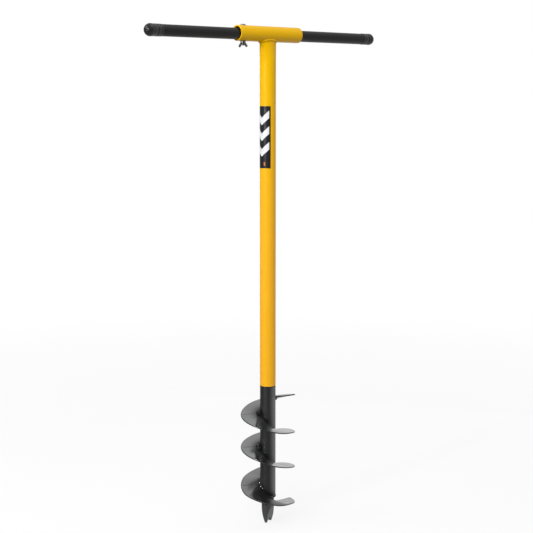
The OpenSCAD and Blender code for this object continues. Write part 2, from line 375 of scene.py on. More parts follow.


# steel of the auger: darkened near the welds and in front of the shaft, partly heat tint and partly painted
# shade and painted reflection of the dark shaft;
# the flights' outer rim face darker where the field rim is 1; and rubbed to bright steel where the field
# edge is high
steelLook = dict(
    bareAndGlint=(0.52, 0.51, 0.49), rust=(0.16, 0.075, 0.035), rusted=0.35, scorchedAndShaded=0.92, scorchShadeTone=0.06,
    rimmed=0.8, rimTone=0.16, grainDepth=0.05 * mm)
drawn = (1, 1, 0.06)    # grain that runs along the tube
steels = dict(
    tubeSteel=dict(colour=(0.20, 0.202, 0.205), metal=1.0, roughness=0.33, wear=0.3, streak=drawn),
    flightSteel=dict(colour=(0.37, 0.372, 0.375), metal=1.0, roughness=0.13, wear=0.15, streak=(1, 1, 1)),
    seamSteel=dict(colour=(0.10, 0.10, 0.10), metal=0.7, roughness=0.36, wear=0.0, streak=drawn),
    bitSteel=dict(colour=(0.27, 0.272, 0.274), metal=0.95, roughness=0.48, wear=0.5, streak=drawn),
    # the joint ring's dark navy tone is a painted shadow line at the paint break
    jointShadeLine=dict(colour=(0.018, 0.019, 0.032), metal=0.2, roughness=0.4, wear=0.0, streak=drawn))


def augerSteel(name, colour, metal, roughness, wear, streak):
    look = steelLook
    f = Finish(name)
    clouds = f.noise(22.0, 5.0, rough=0.6)
    grain = f.noise(520.0, 3.0, streak)
    pits = f.speckle(700.0)
    edge, scorchAndShade, rim = f.field("edge"), f.field("scorchAndShade"), f.field("rim")
    base = f.mix(clouds * 0.5 + grain * 0.25, scaled(colour, 0.72), scaled(colour, 1.3))
    # heat tint near the welds, plus painted shade and painted reflection of the shaft in front of it,
    # darkens the steel here
    burntAndShaded = (scorchAndShade * (0.7 + clouds * 0.8)).clamped() * look["scorchedAndShaded"]
    base = f.mix(burntAndShaded, base, scaled(colour, look["scorchShadeTone"]))
    base = f.mix(rim * look["rimmed"], base, scaled(colour, look["rimTone"]))
    rub = (edge * (0.35 + f.noise(160.0, 4.0) * 1.3)).above(0.72, 0.3) * wear
    base = f.mix(rub, base, look["bareAndGlint"])
    freckle = f.noise(95.0, 6.0, rough=0.75).above(0.74, 0.05)
    rough = roughness + clouds * 0.08 - rub * 0.1 + freckle * 0.25 + scorchAndShade * 0.12 + rim * 0.2
    return f.shade({
        "Base Color": f.mix(freckle * look["rusted"], base, look["rust"]),
        "Metallic": (metal - freckle * 0.4 - scorchAndShade * 0.2).clamped(),
        "Roughness": rough.clamped(),
        "Normal": f.bump(grain + pits * 0.4 + clouds * 2.0, look["grainDepth"], 0.6)})


# weld metal: dark, with bright specks painted in as highlights where the glint field is high
weldLook = dict(
    # bright: the colour of the painted highlights on the beads
    colour=(0.03, 0.03, 0.03), bright=(0.40, 0.39, 0.38), metal=0.55, roughness=0.26, rippleDepth=0.12 * mm)


def weldMetal():
    look = weldLook
    f = Finish("weldBead")
    clouds = f.noise(180.0, 4.0)
    ripple = f.noise(900.0, 3.0)
    # painted highlight: bright specks on the bead
    paintedGlint = f.noise(260.0, 3.0).above(0.58, 0.12) * f.field("bareAndGlint")
    base = f.mix(clouds, scaled(look["colour"], 0.5), look["colour"])
    return f.shade({
        "Base Color": f.mix(paintedGlint, base, look["bright"]),
        "Metallic": look["metal"] + paintedGlint * 0.4,
        "Roughness": look["roughness"] - paintedGlint * 0.08 + clouds * 0.08,
        "Normal": f.bump(ripple + clouds, look["rippleDepth"], 0.7)})


# zinc plate of the bolt, washer and wing nut
zincLook = dict(dull=(0.20, 0.20, 0.19), dulled=0.4, spangleDepth=0.03 * mm)


def zincPlate(name, colour, roughness):
    look = zincLook
    f = Finish(name)
    clouds = f.noise(260.0, 4.0)
    spangle = f.speckle(900.0)
    base = f.mix(clouds * 0.6 + spangle * 0.3, scaled(colour, 0.7), scaled(colour, 1.2))
    dull = f.noise(600.0, 5.0, rough=0.7).above(0.6, 0.1)
    return f.shade({
        "Base Color": f.mix(dull * look["dulled"], base, look["dull"]),
        "Metallic": 0.9 - dull * 0.3,
        "Roughness": roughness + clouds * 0.15 + dull * 0.15,
        "Normal": f.bump(clouds + spangle * 0.5, look["spangleDepth"], 0.5)})


# dark panel with plain chevrons and one small mark, laid out on two fields: across runs from -1 to 1
# and down from 0 to 1
labelLook = dict(
    panel=(0.006, 0.0065, 0.009), chevron=(0.80, 0.80, 0.81), mark=(0.62, 0.19, 0.01),
    chevrons=3, slope=0.55, weight=0.24, margin=0.12, border=0.84, soft=0.02,
    markAcross=-0.33, markDown=0.93, markHalfWide=0.09, markHalfTall=0.028, markSoft=0.008,
    fade=0.06, faded=(0.3, 0.3, 0.3), roughness=0.26, grainDepth=0.02 * mm)


def labelFilm():
    look = labelLook
    soft = look["soft"]
    f = Finish("labelFilm")
    across, down = f.field("across"), f.field("down")
    side = abs(across)
    step = (1 - 2 * look["margin"]) / look["chevrons"]
    bent = (down - look["margin"] + side * (look["slope"] * step)) * (1 / step)    # 1 more for each chevron
    stripe = (look["weight"] - abs(bent.fraction() - 0.5)).above(0.0, soft)
    inside = (look["border"] - side).above(0.0, soft) * bent.above(0.0, soft)
    inside = inside * (look["chevrons"] + soft - bent).above(0.0, soft)
    mark = (look["markHalfWide"] - abs(across - look["markAcross"])).above(0.0, soft)
    mark = mark * (look["markHalfTall"] - abs(down - look["markDown"])).above(0.0, look["markSoft"])
    fade = f.noise(300.0, 4.0)
    ink = f.mix(stripe * inside, look["panel"], look["chevron"])
    ink = f.mix(mark, ink, look["mark"])
    return f.shade({
        "Base Color": f.mix(fade * look["fade"], ink, look["faded"]),
        "Roughness": look["roughness"] + fade * 0.12,
        "Normal": f.bump(f.noise(700.0, 2.0), look["grainDepth"], 0.5)})


yellow = yellowCoat()
black = barCoat()
plastic = capPlastic()
steel = {name: augerSteel(name, **look) for name, look in steels.items()}
bead = weldMetal()
boltZinc = zincPlate("zincBolt", (0.55, 0.55, 0.56), 0.30)
wingZinc = zincPlate("wingZinc", (0.24, 0.24, 0.25), 0.34)
film = labelFilm()
print("finishes made")


# the shaft's top is squashed to an oval, its perimeter kept, and coped to the cross tube
shaftPlan = dict(
    ovalDepth=22 * mm, ovalLength=62 * mm, overlap=0.2 * mm, sides=128, rows=26, straightRows=12)
ovalB = shaftPlan["ovalDepth"] / 2
ovalA = math.sqrt(2 * tubeR ** 2 - ovalB * ovalB)


def saddle(y):    # height of the cross tube's underside
    return crossZ - math.sqrt(crossR * crossR - y * y)


def shaftSkin():
    plan = shaftPlan
    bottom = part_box("shaft_tube")[0][2]
    ovalZ = crossZ - crossR - 0.75 * plan["ovalLength"]

    def ring(t, z, inset, coped):
        b = tubeR + (ovalB - tubeR) * smoothStep(t)
        a = math.sqrt(2 * tubeR ** 2 - b * b)
        points = []
        for k in range(plan["sides"]):
            w = 2 * math.pi * k / plan["sides"]
            top = saddle((ovalB - inset) * math.sin(w)) + plan["overlap"]
            height = z + (top - z) * t if coped else z
            points.append(((a - inset) * math.cos(w), (b - inset) * math.sin(w), height))
        return points

    rise = [(0.0, z, False) for z in between(bottom, ovalZ, plan["straightRows"])]
    rise += [(i / plan["rows"], ovalZ, True) for i in range(plan["rows"] + 1)]
    rings = [ring(t, z, 0.0, coped) for t, z, coped in rise]
    rings += [ring(t, z, tubeWall, coped) for t, z, coped in reversed(rise)]
    return loft("shaftTube", rings, closed=True)


# closed section of a tube with rounded rims, from one end to the other
def pipeProfile(length, outer, inner, lip, steps=4, rows=24):
    half = length / 2
    reach = half - 2 * lip
    points = arcPoints((outer - lip, -half + lip), lip, -90, 0, steps)
    points += [(outer, h) for h in between(-reach, reach, rows)]
    points += arcPoints((outer - lip, half - lip), lip, 0, 90, steps)
    points += arcPoints((inner + lip, half - lip), lip, 90, 180, steps)
    points += [(inner, h) for h in between(reach, -reach, rows)]
    points += arcPoints((inner + lip, -half + lip), lip, 180, 270, steps)
    return points


crossPlan = dict(wall=2.8 * mm, lip=0.9 * mm, sides=128)
barPlan = dict(wall=2.0 * mm, lip=0.5 * mm, sides=96)
drillPlan = dict(r=3.3 * mm, reach=60 * mm, sides=48)


# a tube along X with the clamp bolt's holes through it
def drilledTube(name, node, outer, z, plan):
    profile = pipeProfile(extent(node, 0), outer, outer - plan["wall"], plan["lip"])
    piece = spin(name, profile, alongX(z=z), closed=True, sides=plan["sides"])
    ends = [(drillPlan["r"], -drillPlan["reach"]), (drillPlan["r"], drillPlan["reach"])]
    cut(piece, [spin("drill", ends, alongZ(boltX, 0, crossZ), sides=drillPlan["sides"])])
    piece.data.set_sharp_from_angle(angle=math.radians(35))
    return piece


# rings of a weld bead: its size pulses with each dab of the torch, and it is lumpy
beadPlan = dict(sides=14, stepsInDab=5, lump=0.10, lumpScale=330, lumpReach=3 * mm)


def beadRings(path, size, closed=False, pulse=0.0, seed=0.0):
    plan = beadPlan
    count = len(path)
    dabs = max(1, count // plan["stepsInDab"])
    reach = plan["lumpReach"]
    rings = []
    for i, (x, y, z) in enumerate(path):
        before = path[(i - 1) % count] if closed else path[max(i - 1, 0)]
        after = path[(i + 1) % count] if closed else path[min(i + 1, count - 1)]
        along = (Vector(after) - Vector(before)).normalized()
        side = along.cross(Vector((0, 0, 1))).normalized()
        up = side.cross(along)
        share = i / (count if closed else count - 1)
        grow = size(share) * (1 + pulse * math.sin(2 * math.pi * share * dabs))
        ring = []
        for k in range(plan["sides"]):
            w = 2 * math.pi * k / plan["sides"]
            lump = wobble(x + reach * math.cos(w), y + reach * math.sin(w), z, plan["lumpScale"], seed)
            r = grow * (1 + plan["lump"] * lump)
            ring.append(tuple(Vector((x, y, z)) + r * (math.cos(w) * side + math.sin(w) * up)))
        rings.append(ring)
    return rings


headWeldPlan = dict(r=2.45 * mm, swell=0.3 * mm, swells=5, pulse=0.06, steps=150)


def headWeld():
    plan = headWeldPlan
    path = []
    for i in range(plan["steps"]):
        w = 2 * math.pi * i / plan["steps"]
        y = ovalB * math.sin(w)
        path.append((ovalA * math.cos(w), y, saddle(y)))

    def size(share):
        return plan["r"] + plan["swell"] * math.sin(plan["swells"] * 2 * math.pi * share)

    return loft("headWeld", beadRings(path, size, closed=True, pulse=plan["pulse"]), closed=True, flip=True)


install(shaftSkin(), "shaft_tube", yellow)
install(drilledTube("crossTube", "cross_tube", crossR, crossZ, crossPlan), "cross_tube", yellow)
install(headWeld(), "head_weld", yellow)
install(drilledTube("handleBar", "handle_bar", barR, barZ, barPlan), "handle_bar", black)
print("head made")


capPlan = dict(
    dome=12.6 * mm, skirt=12.2 * mm, skirtLength=24 * mm, groove=0.35 * mm, grooves=(11 * mm, 19 * mm),
    grooveHalf=0.4 * mm, fit=0.05 * mm, floor=0.1 * mm, gap=0.2 * mm)


def endCap(name, x, way):
    plan = capPlan
    dome, skirt, end = plan["dome"], plan["skirt"], plan["skirtLength"]
    bore, bottom, half = barR + plan["fit"], skirt - plan["groove"], plan["grooveHalf"]
    points = arcPoints((0, 0), dome, -90, -4, 26)
    points += [(dome, -0.2 * mm), (dome, 0.6 * mm), (dome - 0.15 * mm, 1.3 * mm)]    # the dome's edge
    points += [(skirt + 0.1 * mm, 2.2 * mm), (skirt, 2.8 * mm), (skirt, 5 * mm)]
    for h in plan["grooves"]:
        points += [(skirt, h - 2 * half), (bottom, h - half), (bottom, h + half), (skirt, h + 2 * half)]
    points += [(skirt, end - 0.4 * mm), (skirt - 0.2 * mm, end)]
    points += [(bore, end), (bore, plan["floor"]), (0, plan["floor"])]
    return spin(name, points, alongX(x=x, z=barZ, way=way), sharp=50)


capX = extent("handle_bar", 0) / 2 + capPlan["gap"]
install(endCap("endCapLeft", -capX, 1), "end_cap_left", plastic)
install(endCap("endCapRight", capX, -1), "end_cap_right", plastic)
print("caps made")


# the flight: angles are in degrees of turn from its upper end down
flightPlan = dict(
    start=-43, seams=(185, 545, 905), end=1114, ease=64, pitch=80 * mm, step=2.0,
    gap=0.10 * mm, bitR=13.5 * mm,
    plate=3.1 * mm, rimPlate=2.5 * mm, rimIn=0.15 * mm, rimRound=0.6 * mm, rimWave=0.12 * mm,
    skinSunk=0.02 * mm, bow=0.5 * mm, dent=0.35 * mm, lipTurn=7.0, lipThinned=0.65,
    # how far the pulled plate lies above a true helix, in mm, at each angle
    pull=[
        (0, 2), (60, 2), (120, 1), (170, -2), (235, -2), (290, -4.6), (345, -1.2), (430, 5.5), (520, 5.5),
        (600, 6), (650, 1.2), (700, 1.7), (790, 7.5), (865, 4), (935, -3.8), (1010, -4), (1060, 0.8),
        (1114, 0.5)],
    # how far its root lies above its rim, in mm
    droop=[
        (0, -5), (120, 0), (200, 6), (235, 6), (340, 2.5), (480, 1), (560, 3), (600, 0), (720, 2.5),
        (850, 1), (900, 5), (945, 10), (985, 6), (1060, 0), (1114, -1)])
seams = flightPlan["seams"]
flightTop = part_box("flight_top")[1][2] - flightPlan["pull"][0][1] * mm


def lookUp(table, a):
    for (a0, up0), (a1, up1) in zip(table, table[1:]):
        if a <= a1:
            return (up0 + (up1 - up0) * smoothStep((a - a0) / (a1 - a0))) * mm
    return table[-1][1] * mm


def rimZ(a):    # the last stretch levels out
    plan = flightPlan
    over = max(0.0, a - (plan["end"] - plan["ease"]))
    turned = a - over * over / (2 * plan["ease"])
    return flightTop - plan["pitch"] / 360 * turned + lookUp(plan["pull"], a)


def rootZ(a):
    return rimZ(a) + lookUp(flightPlan["droop"], a)


def rootR(a):    # steps in to the bit below the tube's end
    low = min(1.0, max(0.0, (tubeEnd - rootZ(a)) / flightPlan["plate"]))
    return (tubeR * (1 - low) + flightPlan["bitR"] * low) + flightPlan["gap"]


def around(r, a, z):
    w = math.radians(flightPlan["start"] + a)
    return (r * math.cos(w), r * math.sin(w), z)


# height of the upper face at a share s of the way from the root to the rim
def plateZ(a, s):
    plan = flightPlan
    w = math.radians(a)
    dent = plan["dent"] * wobble(math.cos(w), math.sin(w), a / 90, 1.3)
    bow = plan["bow"] * math.sin(math.pi * s) + dent * s
    return rootZ(a) + (rimZ(a) - rootZ(a)) * s - plan["skinSunk"] - plan["dent"] * s - bow


# one section of the flight between two angles, with a rounded rim and a ground edge at the lip
def flightSection(name, a0, a1):
    plan = flightPlan
    steps = max(2, round((a1 - a0) / plan["step"]))
    across = [0.0, 0.06, 0.14, 0.26, 0.40, 0.54, 0.68, 0.80, 0.90, 0.96]
    rings = []
    for i in range(steps + 1):
        a = a0 + (a1 - a0) * i / steps
        inner = rootR(a)
        toLip = max(0.0, 1 - (plan["end"] - a) / plan["lipTurn"])
        edge = flightR - plan["rimIn"] + plan["rimWave"] * wobble(a / 11, 0.5, 0.2)
        flat = edge - plan["rimRound"]
        top, under = [], []
        for s in across:
            thick = plan["plate"] + (plan["rimPlate"] - plan["plate"]) * s
            thick *= 1 - plan["lipThinned"] * toLip
            r, z = inner + (flat - inner) * s, plateZ(a, s)
            top.append(around(r, a, z))
            under.append(around(r, a, z - thick))
        zTop, zUnder = top[-1][2], under[-1][2]
        half, centre = (zTop - zUnder) / 2, (zTop + zUnder) / 2
        rim = []
        for w in (-62, -30, 0, 30, 62):
            out, up = math.cos(math.radians(w)), math.sin(math.radians(w))
            rim.append(around(flat + plan["rimRound"] * out, a, centre + half * up))
        rings.append(under + rim + top[::-1])
    piece = loft(name, rings, flip=True, sharp=50)
    # the lip's plate also takes the painted reflection of the dark shaft
    reflectsShaft = a0 == seams[2]

    def radius(co):
        return math.hypot(co.x, co.y)

    setField(piece, "edge", lambda co: math.exp(-(flightR - radius(co)) / (2.2 * mm)))
    setField(piece, "rim", lambda co: 1.0 if radius(co) > flightR - 1.1 * mm else 0.0)
    setField(piece, "scorchAndShade", lambda co: max(scorchAndShadeAt(co), shaftReflectionAt(co) if reflectsShaft else 0.0))
    return piece


# beads along the root: angles from and to, radius, and 1 above the plate or -1 under it
stitchPlan = dict(
    beads=[
        (seams[0] - 4, seams[0] + 26, 6.2 * mm, 1),
        (seams[1] - 4, seams[1] + 26, 6.2 * mm, 1),
        (seams[2] - 10, seams[2] + 60, 3.1 * mm, 1),
        (2, 26, 3.2 * mm, -1)],
    step=1.2, pulse=0.10, out=0.4 * mm, rise=0.3 * mm, buried=3.5 * mm, glintAllBelow=0.12, bareAndGlint=0.3,
    heatShadeSpots=4, heatShadeReach=2.6, shaftShadeSpots=4, shaftShadeStep=12, shaftShadeReach=8.5 * mm)


def rootBead(a0, a1, size, side):
    plan = stitchPlan
    steps = max(12, round((a1 - a0) / plan["step"]))
    out = plan["out"] + max(0.0, size - plan["buried"])
    rise = plan["rise"] if side > 0 else -flightPlan["plate"] - plan["rise"]
    path = []
    for i in range(steps + 1):
        a = a0 + (a1 - a0) * i / steps
        path.append(around(rootR(a) + out, a, rootZ(a) + rise))

    def taper(share):
        return size * (0.35 + 0.6 * math.sin(math.pi * share) ** 0.6)

    return loft("stitch", beadRings(path, taper, pulse=plan["pulse"], seed=a0), flip=True)


# places along the root, each with its reach: heat tint round the upper beads, and after each bead a trail of
# painted shadow and painted reflection of the shaft in front of it
def findTintAndShadeSpots():
    plan = stitchPlan
    spots = []
    for a0, a1, size, side in plan["beads"]:
        if side < 0:
            continue
        for i in range(plan["heatShadeSpots"] + 1):
            spots.append((a0 + (a1 - a0) * i / plan["heatShadeSpots"], size * plan["heatShadeReach"]))
        for i in range(1, plan["shaftShadeSpots"] + 1):
            spots.append((a1 + plan["shaftShadeStep"] * i, plan["shaftShadeReach"]))
    return [(Vector(around(rootR(a), a, rootZ(a))), reach) for a, reach in spots]


tintAndShadeSpots = findTintAndShadeSpots()


# heat tint round the beads, with painted shade and painted reflection of the shaft in front of them
def scorchAndShadeAt(co):
    return max(math.exp(-((co - spot).length / reach) ** 2) for spot, reach in tintAndShadeSpots)


# painted reflection of the dark shaft on the lip's plate, its edge slanting back from the root to the rim
shaftReflectionPlan = dict(start=903, slant=52, soft=9, stop=1022, fade=26)


def shaftReflectionAt(co):
    plan = shaftReflectionPlan
    turned = (math.degrees(math.atan2(co.y, co.x)) - flightPlan["start"]) % 360
    a = turned + 720    # the lip's plate is all in the third turn
    s = (math.hypot(co.x, co.y) - tubeR) / (flightR - tubeR)
    begun = smoothStep((a - plan["start"] - plan["slant"] * s) / plan["soft"])
    return begun * (1 - smoothStep((a - plan["stop"]) / plan["fade"]))


tubePlan = dict(lip=0.3 * mm, outerRows=90, innerRows=12, wornFor=3 * mm, scorchShadeFor=4 * mm)


def augerTube():
    plan = tubePlan
    low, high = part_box("auger_tube")
    outer, inner, lip = tubeR, tubeR - tubeWall, plan["lip"]
    points = [(outer - lip, low[2]), (outer, low[2] + lip)]
    points += [(outer, h) for h in between(low[2] + 2 * lip, high[2] - lip, plan["outerRows"])]
    points += [(outer, high[2]), (inner, high[2])]
    points += [(inner, h) for h in between(high[2] - lip, low[2] + lip, plan["innerRows"])]
    points += [(inner, low[2])]
    piece = spin("augerTube", points, alongZ(), closed=True)

    # darker towards the tube's lower end: heat tint from the bit weld and painted shade where the tube meets
    # the bit
    def burntAndShaded(co):
        return min(1.0, scorchAndShadeAt(co) + math.exp(-(co.z - low[2]) / plan["scorchShadeFor"]))

    setField(piece, "edge", lambda co: math.exp(-(co.z - low[2]) / plan["wornFor"]))
    setField(piece, "scorchAndShade", burntAndShaded)
    return piece


# the weld ring at the paint break, coloured dark navy as a painted shadow line
def jointRing():
    low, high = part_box("joint_weld")
    bottom, top, inner = low[2], high[2], tubeR - tubeWall
    points = [(tubeR, bottom), (tubeR, (bottom + top) / 2), (tubeR, top), (inner, top), (inner, bottom)]
    return spin("jointRing", points, alongZ(), closed=True)


# flat radial bead over a seam, following the plate from the root to the rim
seamPlan = dict(r=1.3 * mm, sunk=1.12 * mm, start=5 * mm, stop=3 * mm, steps=60, pulse=0.04)


def seamBead(a):
    plan = seamPlan
    path = []
    for i in range(plan["steps"] + 1):
        r = tubeR + plan["start"] + (flightR - tubeR - plan["start"] - plan["stop"]) * i / plan["steps"]
        path.append(around(r, a, plateZ(a, (r - tubeR) / (flightR - tubeR)) - plan["sunk"]))

    def taper(share):
        return plan["r"] * min(1.0, 0.3 + 9 * share, 0.3 + 9 * (1 - share))

    return loft("seam", beadRings(path, taper, pulse=plan["pulse"], seed=a), flip=True)


# fishtail bit: thins towards two prongs with a notch between them, one shorter than the other
bitPlan = dict(
    r=13.5 * mm, taper=36 * mm, point=14 * mm, pointThick=6 * mm,
    notch=14 * mm, swell=1.4 * mm, step=3.5 * mm,
    straight=(50 * mm, 62.8 * mm), plugFrom=62.9 * mm, rows=30, sides=72, voxel=0.55 * mm, smoothing=4,
    wornFor=7 * mm, scorchShadeFor=5 * mm)


def bitRing(z):
    plan = bitPlan
    half, thin = plan["point"] / 2, plan["pointThick"] / 2
    t = min(1.0, z / plan["taper"])
    wide = half + (plan["r"] - half) * t + plan["swell"] * math.sin(math.pi * t)
    thick = thin + (plan["r"] + 1 * mm - thin) * min(1.0, z / (plan["taper"] + 4 * mm))
    if z >= plan["plugFrom"]:
        wide = extent("pilot_bit", 0) / 2
    ring = []
    for k in range(plan["sides"]):
        w = 2 * math.pi * k / plan["sides"]
        ring.append((wide * math.cos(w), max(-thick, min(thick, wide * math.sin(w))), z))
    return ring


def pilotBit():
    plan = bitPlan
    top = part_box("pilot_bit")[1][2]
    levels = between(0.0, plan["taper"], plan["rows"])
    levels += [plan["taper"], *plan["straight"], plan["plugFrom"], top]
    piece = loft("pilotBit", [bitRing(z) for z in levels])
    far, foot, half = 30 * mm, -0.5 * mm, plan["point"] / 2 - 1 * mm
    notch = [(-half, foot), (half, foot), (0, plan["notch"])]
    wedge = makeObject(
        "wedge", [(x, y, z) for y in (-far, far) for x, z in notch],
        [(0, 1, 2), (5, 4, 3), (0, 3, 4, 1), (1, 4, 5, 2), (2, 5, 3, 0)])
    plot = [(0, -far), (far, -far), (far, far), (0, far)]
    block = makeObject(
        "block", [(x, y, z) for z in (-5 * mm, plan["step"]) for x, y in plot],
        [(3, 2, 1, 0), (4, 5, 6, 7), (0, 1, 5, 4), (1, 2, 6, 5), (2, 3, 7, 6), (3, 0, 4, 7)])
    cut(piece, [wedge, block])
    remesh(piece, plan["voxel"], plan["smoothing"])
    setField(piece, "edge", lambda co: math.exp(-co.z / plan["wornFor"]))
    # darker just under the tube's end: heat tint from the weld and painted shade under the tube
    setField(piece, "scorchAndShade", lambda co: math.exp(-max(0.0, tubeEnd - co.z) / plan["scorchShadeFor"]))
    return piece


# bead round the tube's lower end, with one fat dab where it was finished
bitWeldPlan = dict(
    r=2.0 * mm, out=1.0 * mm, drop=1.2 * mm, steps=120, pulse=0.10, blobAt=300, blob=1.6 * mm, blobWidth=20)


def bitWeld():
    plan = bitWeldPlan
    reach = bitPlan["r"] + plan["out"]
    path = []
    for i in range(plan["steps"]):
        w = 2 * math.pi * i / plan["steps"]
        path.append((reach * math.cos(w), reach * math.sin(w), tubeEnd - plan["drop"]))

    def size(share):
        away = (360 * share - plan["blobAt"]) / plan["blobWidth"]
        return plan["r"] + plan["blob"] * math.exp(-away ** 2)

    rings = beadRings(path, size, closed=True, pulse=plan["pulse"], seed=4.0)
    return loft("bitWeld", rings, closed=True, flip=True)


turns = (0, *seams, flightPlan["end"])
sections = dict(
    flight_top="flightTop", flight_upper="flightUpper", flight_lower="flightLower", flight_lip="flightLip")
for (node, name), a0, a1 in zip(sections.items(), turns, turns[1:]):
    install(flightSection(name, a0, a1), node, steel["flightSteel"])
install(augerTube(), "auger_tube", steel["tubeSteel"])
install(jointRing(), "joint_weld", steel["jointShadeLine"])
install(merge("seamWelds", [seamBead(a) for a in seams]), "seam_welds", steel["seamSteel"])
rootWelds = merge("rootWelds", [rootBead(*stitch) for stitch in stitchPlan["beads"]])
# how much painted highlight each bead carries: full on the lowest bead, less above; on the steel the same
# name is the rubbed bare colour
setField(rootWelds, "bareAndGlint", lambda co: 1.0 if co.z < stitchPlan["glintAllBelow"] else stitchPlan["bareAndGlint"])
install(rootWelds, "root_welds", bead)
install(pilotBit(), "pilot_bit", steel["bitSteel"])
lowWeld = bitWeld()
# the bit weld carries painted highlights all round
setField(lowWeld, "bareAndGlint", lambda co: 1.0)
install(lowWeld, "bit_weld", bead)
spigotMesh = frame["nodes"]["joint_spigot"].data    # inside the tubes: it keeps the frame's own mesh
spigotMesh.materials.clear()
spigotMesh.materials.append(steel["tubeSteel"])
print("auger made")


# thin film round half the tube and a little less, wrap in degrees
labelPlan = dict(wrap=135, gap=0.03 * mm, film=0.2 * mm, cols=60, rows=90, backRows=6)


def labelSkin():
    plan = labelPlan
    low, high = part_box("label")
    tall = high[2] - low[2]
    half = math.radians(plan["wrap"] / 2)
    inner, outer = tubeR + plan["gap"], tubeR + plan["film"]
    strip = [(outer, low[2] + tall * j / plan["rows"]) for j in range(plan["rows"] + 1)]
    strip += [(inner, high[2] - tall * j / plan["backRows"]) for j in range(plan["backRows"] + 1)]
    rings = []
    for i in range(plan["cols"] + 1):
        w = math.pi - half + 2 * half * i / plan["cols"]
        rings.append([(r * math.cos(w), r * math.sin(w), z) for r, z in strip])
    piece = loft("labelFilm", rings, flip=True)
    setField(piece, "across", lambda co: math.atan2(co.y, -co.x) / half)
    setField(piece, "down", lambda co: (high[2] - co.z) / tall)
    return piece


install(labelSkin(), "label", film)
print("label made")


boltPlan = dict(
    major=2.97 * mm, minor=2.42 * mm, pitch=1.0 * mm, threaded=26 * mm, runIn=1.5 * mm, chamfer=0.2 * mm,
    neckAfter=0.5 * mm, head=2.6 * mm, headSide=1.3 * mm, headLip=0.3 * mm, sides=36, rows=8)


def clampBolt():
    plan = boltPlan
    low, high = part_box("clamp_bolt")
    headR = extent("clamp_bolt", 0) / 2
    headBase = high[2] - plan["head"]

    def ring(z, radiusAt):
        points = []
        for k in range(plan["sides"]):
            w = 2 * math.pi * k / plan["sides"]
            r = radiusAt(w)
            points.append((boltX + r * math.cos(w), r * math.sin(w), z))
        return points

    def threadR(z, w):
        turn = ((z - low[2]) / plan["pitch"] - w / (2 * math.pi)) % 1.0
        crest = min(1.0, max(0.0, 1.25 - abs(turn - 0.5) * 3.0))
        fade = min(1.0, (z - low[2]) / plan["runIn"])
        return plan["minor"] + (plan["major"] - plan["minor"]) * crest * fade

    rings = [ring(low[2], lambda w: 0.4 * mm), ring(low[2], lambda w: plan["minor"] - plan["chamfer"])]
    steps = round(plan["threaded"] / plan["pitch"] * plan["rows"])
    for i in range(1, steps + 1):
        z = low[2] + plan["threaded"] * i / steps
        rings.append(ring(z, lambda w: threadR(z, w)))
    neck = low[2] + plan["threaded"] + plan["neckAfter"]
    for z in between(neck, headBase, 6) + [headBase]:
        rings.append(ring(z, lambda w: plan["major"]))
    side = headBase + plan["headSide"]
    profile = [(headR - plan["headLip"], headBase), (headR, headBase + plan["headLip"]), (headR, side)]
    for degrees in range(10, 90, 10):    # the domed top
        w = math.radians(degrees)
        profile.append((headR * math.cos(w), side + plan["headSide"] * math.sin(w)))
    for r, z in profile + [(0.2 * mm, high[2])]:
        rings.append(ring(z, lambda w: r))
    return loft("clampBolt", rings, sharp=30)


washerPlan = dict(bore=3.3 * mm, lip=0.18 * mm, sides=64)


def nutWasher():
    low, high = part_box("nut_washer")
    outer, inner, lip = extent("nut_washer", 0) / 2, washerPlan["bore"], washerPlan["lip"]
    points = [(outer - lip, low[2]), (outer, low[2] + lip), (outer, high[2] - lip), (outer - lip, high[2]),
              (inner + lip, high[2]), (inner, high[2] - lip), (inner, low[2] + lip), (inner + lip, low[2])]
    return spin("nutWasher", points, alongZ(boltX), closed=True, sides=washerPlan["sides"], sharp=30)


wingPlan = dict(
    hub=5.3 * mm, hubLow=4.7 * mm, hubHeight=7.4 * mm, hubEdge=1.2 * mm, hubSides=64, bore=3.05 * mm,
    thick=2.4 * mm, lobe=2.6 * mm, drop=11.2 * mm, rootIn=4.0 * mm, rootOut=5.6 * mm, rootShare=0.85,
    voxel=0.28 * mm, smoothing=3)


# one wing, drawn from its root at the hub's top round its lobe; side is -1 or 1
def wing(side, top, reach):
    plan = wingPlan
    lobe, lobeY, lobeZ = plan["lobe"], side * (reach - plan["lobe"]), -plan["drop"] + plan["lobe"]
    outline = [(side * plan["rootIn"], 0), (side * plan["rootOut"], 0)]
    for degrees in range(35, -181, -18):
        w = math.radians(degrees)
        outline.append((lobeY + side * lobe * math.cos(w), lobeZ + lobe * math.sin(w)))
    outline.append((side * plan["rootIn"], -plan["hubHeight"] * plan["rootShare"]))
    rings = []
    for through, shrink in ((-0.5, 0.85), (-0.36, 1.0), (0.36, 1.0), (0.5, 0.85)):    # its edges rounded
        x = boltX + through * plan["thick"]
        rings.append([
            (x, lobeY + (y - lobeY) * shrink, top + lobeZ + (z - lobeZ) * shrink) for y, z in outline])
    return loft("wing", rings, flip=side > 0)


def wingNut():
    plan = wingPlan
    top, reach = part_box("wing_nut")[1][2], extent("wing_nut", 1) / 2
    outer, bore, foot = plan["hub"], plan["bore"], -plan["hubHeight"]
    profile = [(plan["hubLow"], foot), (outer, -plan["hubEdge"]), (outer, 0), (bore, 0), (bore, foot)]
    hub = spin("hub", profile, alongZ(boltX, 0, top), closed=True, sides=plan["hubSides"])
    piece = merge("wingNut", [hub, wing(-1, top, reach), wing(1, top, reach)])
    remesh(piece, plan["voxel"], plan["smoothing"])
    return piece


install(clampBolt(), "clamp_bolt", boltZinc)
install(nutWasher(), "nut_washer", boltZinc)
install(wingNut(), "wing_nut", wingZinc)
print("clamp made")


